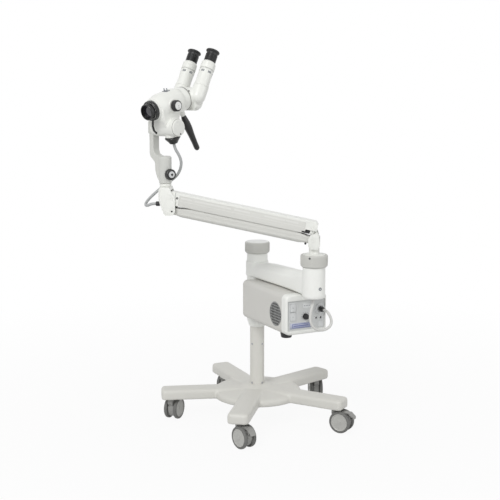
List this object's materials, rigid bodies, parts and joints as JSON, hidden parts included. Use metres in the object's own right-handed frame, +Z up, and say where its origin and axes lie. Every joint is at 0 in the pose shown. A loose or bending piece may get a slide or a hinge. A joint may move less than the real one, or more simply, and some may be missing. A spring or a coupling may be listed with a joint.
{
  "type": "colposcope",
  "caption": "Examination microscope with binocular tubes on a sprung swing arm, with a lamp box and light guide, on a wheeled star base",
  "frame": {"origin": "on the floor, on the axis of the column", "axes": "+Z up; -Y along the bridge from the column towards the front post and the control panel; +X to the right of someone who faces along +Y"},
  "size_m": [0.8193, 0.7894, 1.2845],
  "materials": {
    "black_plastic": "satin",
    "black_rubber": "matt",
    "caster_grey": "satin moulding",
    "glass": "coated lens",
    "grey_shell": "satin moulding",
    "guide_sheath": "satin sheath",
    "head_shell": "smooth white paint over die-cast aluminium",
    "panel_grey": "printed foil, no lettering",
    "spring_steel": "oiled",
    "steel": "turned",
    "tyre": "matt tread with light-grey hub discs",
    "warm_grey_paint": "fine-textured powder coat",
    "white_paint": "smooth powder coat"
  },
  "bodies": {
    "base": {"star_base": "warm_grey_paint", "column_tube": "warm_grey_paint", "column_screws": "steel"},
    "caster_front": {"caster_housing_front": "caster_grey"},
    "wheels_front": {"caster_wheels_front": "tyre"},
    "pedal_front": {"brake_pedal_front": "caster_grey"},
    "caster_right": {"caster_housing_right": "caster_grey"},
    "wheels_right": {"caster_wheels_right": "tyre"},
    "pedal_right": {"brake_pedal_right": "caster_grey"},
    "caster_far_right": {"caster_housing_far_right": "caster_grey"},
    "wheels_far_right": {"caster_wheels_far_right": "tyre"},
    "caster_far_left": {"caster_housing_far_left": "caster_grey"},
    "wheels_far_left": {"caster_wheels_far_left": "tyre"},
    "caster_left": {"caster_housing_left": "caster_grey"},
    "wheels_left": {"caster_wheels_left": "tyre"},
    "support": {"rear_sleeve": "warm_grey_paint", "support_arm": "white_paint", "lamp_housing": "grey_shell", "front_bezel": "grey_shell", "control_panel": "panel_grey", "vent_grille": "black_plastic", "lamp_module": "grey_shell", "box_foot": "black_rubber", "light_guide_plug": "black_plastic", "light_guide_loop": "guide_sheath"},
    "rear_ring": {"rear_clamp_ring": "grey_shell"},
    "front_ring": {"front_clamp_ring": "grey_shell"},
    "fan": {"fan_rotor": "black_plastic"},
    "brightness": {"brightness_knob": "black_plastic"},
    "lamp_button": {"lamp_button": "grey_shell"},
    "standby_button": {"standby_button": "grey_shell"},
    "yoke": {"arm_yoke": "white_paint", "yoke_pins": "steel"},
    "upper_arm": {"upper_link": "head_shell", "arm_side_panels": "grey_shell", "spring_cartridge": "spring_steel"},
    "lower_arm": {"lower_link": "head_shell"},
    "arm_end": {"end_bracket": "head_shell", "bracket_pins": "steel", "cable_grommet": "black_rubber", "light_guide_lower": "guide_sheath"},
    "swivel": {"swivel_bracket": "head_shell", "light_guide_upper": "guide_sheath"},
    "tension": {"tension_knob": "black_plastic"},
    "head": {"microscope_body": "head_shell", "housing_cap": "head_shell", "light_guide_socket": "black_plastic", "handle": "black_plastic", "binocular_housing": "head_shell"},
    "magnification": {"magnification_knob": "black_plastic"},
    "focus": {"focus_ring": "black_plastic"},
    "objective": {"objective_cell": "black_plastic", "objective_lens": "glass"},
    "filter": {"filter_slider": "black_plastic"},
    "tube_near": {"eyepiece_tube_near": "head_shell"},
    "diopter_near": {"diopter_ring_near": "head_shell"},
    "eyecup_near": {"eyecup_near": "black_rubber"},
    "tube_far": {"eyepiece_tube_far": "head_shell"},
    "diopter_far": {"diopter_ring_far": "head_shell"},
    "eyecup_far": {"eyecup_far": "black_rubber"}
  },
  "joints": [
    {"name": "caster_swivel_front", "type": "hinge", "parent": "base", "child": "caster_front", "pos_m": [-0.18839, -0.24113, 0.081], "axis": [0, 0, 1], "continuous": true},
    {"name": "wheel_spin_front", "type": "hinge", "parent": "caster_front", "child": "wheels_front", "pos_m": [-0.18328, -0.26458, 0.0375], "axis": [0.977, 0.213, 0], "continuous": true},
    {"name": "brake_front", "type": "hinge", "parent": "caster_front", "child": "pedal_front", "pos_m": [-0.18435, -0.2597, 0.071], "axis": [0.977, 0.213, 0], "range_deg": [0, 4]},
    {"name": "caster_swivel_right", "type": "hinge", "parent": "base", "child": "caster_right", "pos_m": [0.17111, -0.25368, 0.081], "axis": [0, 0, 1], "continuous": true},
    {"name": "wheel_spin_right", "type": "hinge", "parent": "caster_right", "child": "wheels_right", "pos_m": [0.18429, -0.27375, 0.0375], "axis": [0.8358, 0.549, 0], "continuous": true},
    {"name": "brake_right", "type": "hinge", "parent": "caster_right", "child": "pedal_right", "pos_m": [0.18154, -0.26957, 0.071], "axis": [0.8358, 0.549, 0], "range_deg": [0, 4]},
    {"name": "caster_swivel_far_right", "type": "hinge", "parent": "base", "child": "caster_far_right", "pos_m": [0.29415, 0.08435, 0.081], "axis": [0, 0, 1], "continuous": true},
    {"name": "wheel_spin_far_right", "type": "hinge", "parent": "caster_far_right", "child": "wheels_far_right", "pos_m": [0.30314, 0.1066, 0.0375], "axis": [-0.9272, 0.3746, 0], "continuous": true},
    {"name": "caster_swivel_far_left", "type": "hinge", "parent": "base", "child": "caster_far_left", "pos_m": [0.01068, 0.30581, 0.081], "axis": [0, 0, 1], "continuous": true},
    {"name": "wheel_spin_far_left", "type": "hinge", "parent": "caster_far_left", "child": "wheels_far_left", "pos_m": [0.03146, 0.31781, 0.0375], "axis": [-0.5, 0.866, 0], "continuous": true},
    {"name": "caster_swivel_left", "type": "hinge", "parent": "base", "child": "caster_left", "pos_m": [-0.28755, 0.10466, 0.081], "axis": [0, 0, 1], "continuous": true},
    {"name": "wheel_spin_left", "type": "hinge", "parent": "caster_left", "child": "wheels_left", "pos_m": [-0.26952, 0.1205, 0.0375], "axis": [-0.66, 0.7513, 0], "continuous": true},
    {"name": "support_swing", "type": "hinge", "parent": "base", "child": "support", "pos_m": [0, 0, 0.5], "axis": [0, 0, 1], "range_deg": [-170, 170]},
    {"name": "rear_clamp", "type": "hinge", "parent": "support", "child": "rear_ring", "pos_m": [0, 0, 0.61], "axis": [0, 0, 1], "range_deg": [0, 90]},
    {"name": "front_clamp", "type": "hinge", "parent": "support", "child": "front_ring", "pos_m": [0, -0.391, 0.62], "axis": [0, 0, 1], "range_deg": [0, 90]},
    {"name": "fan_spin", "type": "hinge", "parent": "support", "child": "fan", "pos_m": [-0.06, -0.276, 0.438], "axis": [-1, 0, 0], "continuous": true},
    {"name": "brightness_turn", "type": "hinge", "parent": "support", "child": "brightness", "pos_m": [-0.0024, -0.343, 0.436], "axis": [0, -1, 0], "range_deg": [-135, 135]},
    {"name": "lamp_button_press", "type": "slide", "parent": "support", "child": "lamp_button", "axis": [0, 1, 0], "range_m": [0, 0.0015], "stiffness_N_per_m": 600},
    {"name": "standby_button_press", "type": "slide", "parent": "support", "child": "standby_button", "axis": [0, 1, 0], "range_m": [0, 0.0015], "stiffness_N_per_m": 600},
    {"name": "arm_swing", "type": "hinge", "parent": "support", "child": "yoke", "pos_m": [0, -0.391, 0.6], "axis": [0, 0, 1], "range_deg": [-45, 170]},
    {"name": "arm_lift", "type": "hinge", "parent": "yoke", "child": "upper_arm", "pos_m": [-0.00511, -0.38786, 0.73], "axis": [0.524, 0.8517, 0], "range_deg": [-33, 18]},
    {"name": "lower_link_lift", "type": "hinge", "parent": "yoke", "child": "lower_arm", "pos_m": [-0.00511, -0.38786, 0.69], "axis": [0.524, 0.8517, 0], "range_deg": [-33, 18]},
    {"name": "bracket_level", "type": "hinge", "parent": "upper_arm", "child": "arm_end", "pos_m": [-0.37815, -0.15836, 0.81831], "axis": [0.524, 0.8517, 0], "range_deg": [-18, 33]},
    {"name": "head_swivel", "type": "hinge", "parent": "arm_end", "child": "swivel", "pos_m": [-0.3986, -0.14578, 0.89], "axis": [0, 0, 1], "range_deg": [-60, 60], "deforming": ["light_guide_lower", "light_guide_upper"]},
    {"name": "tension_turn", "type": "hinge", "parent": "swivel", "child": "tension", "pos_m": [-0.39493, -0.16595, 0.893], "axis": [0.1788, -0.9839, 0], "range_deg": [-180, 180]},
    {"name": "head_tilt", "type": "hinge", "parent": "swivel", "child": "head", "pos_m": [-0.3986, -0.14578, 1.038], "axis": [0.3795, -0.9252, 0], "range_deg": [-25, 25], "deforming": ["light_guide_upper"]},
    {"name": "magnification_turn", "type": "hinge", "parent": "head", "child": "magnification", "pos_m": [-0.38258, -0.18569, 1.10489], "axis": [0.3795, -0.9252, 0], "continuous": true},
    {"name": "focus_turn", "type": "hinge", "parent": "head", "child": "focus", "pos_m": [-0.44984, -0.1668, 1.09014], "axis": [-0.8937, -0.3665, -0.2588], "range_deg": [-35, 35]},
    {"name": "objective_travel", "type": "slide", "parent": "head", "child": "objective", "axis": [-0.8937, -0.3665, -0.2588], "range_m": [-0.003, 0.003]},
    {"name": "filter_travel", "type": "slide", "parent": "head", "child": "filter", "axis": [-0.8937, -0.3665, -0.2588], "range_m": [-0.003, 0.003]},
    {"name": "pupil_near", "type": "slide", "parent": "head", "child": "tube_near", "axis": [0.3795, -0.9252, 0], "range_m": [-0.013, 0]},
    {"name": "diopter_turn_near", "type": "hinge", "parent": "tube_near", "child": "diopter_near", "pos_m": [-0.24048, -0.12525, 1.22705], "axis": [0.42, 0.1723, 0.891], "range_deg": [-75, 75]},
    {"name": "eyecup_pull_near", "type": "slide", "parent": "tube_near", "child": "eyecup_near", "axis": [0.42, 0.1723, 0.891], "range_m": [0, 0.006]},
    {"name": "pupil_far", "type": "slide", "parent": "head", "child": "tube_far", "axis": [0.3795, -0.9252, 0], "range_m": [0, 0.013]},
    {"name": "diopter_turn_far", "type": "hinge", "parent": "tube_far", "child": "diopter_far", "pos_m": [-0.2716, -0.04938, 1.22705], "axis": [0.42, 0.1723, 0.891], "range_deg": [-75, 75]},
    {"name": "eyecup_pull_far", "type": "slide", "parent": "tube_far", "child": "eyecup_far", "axis": [0.42, 0.1723, 0.891], "range_m": [0, 0.006]}
  ],
  "couplings": [
    {"joint": "lower_link_lift", "follows": "arm_lift", "ratio": 1},
    {"joint": "bracket_level", "follows": "arm_lift", "ratio": -1},
    {"joint": "focus_turn", "follows": "objective_travel", "rad_per_m": 200},
    {"joint": "pupil_far", "follows": "pupil_near", "ratio": -1}
  ]
}
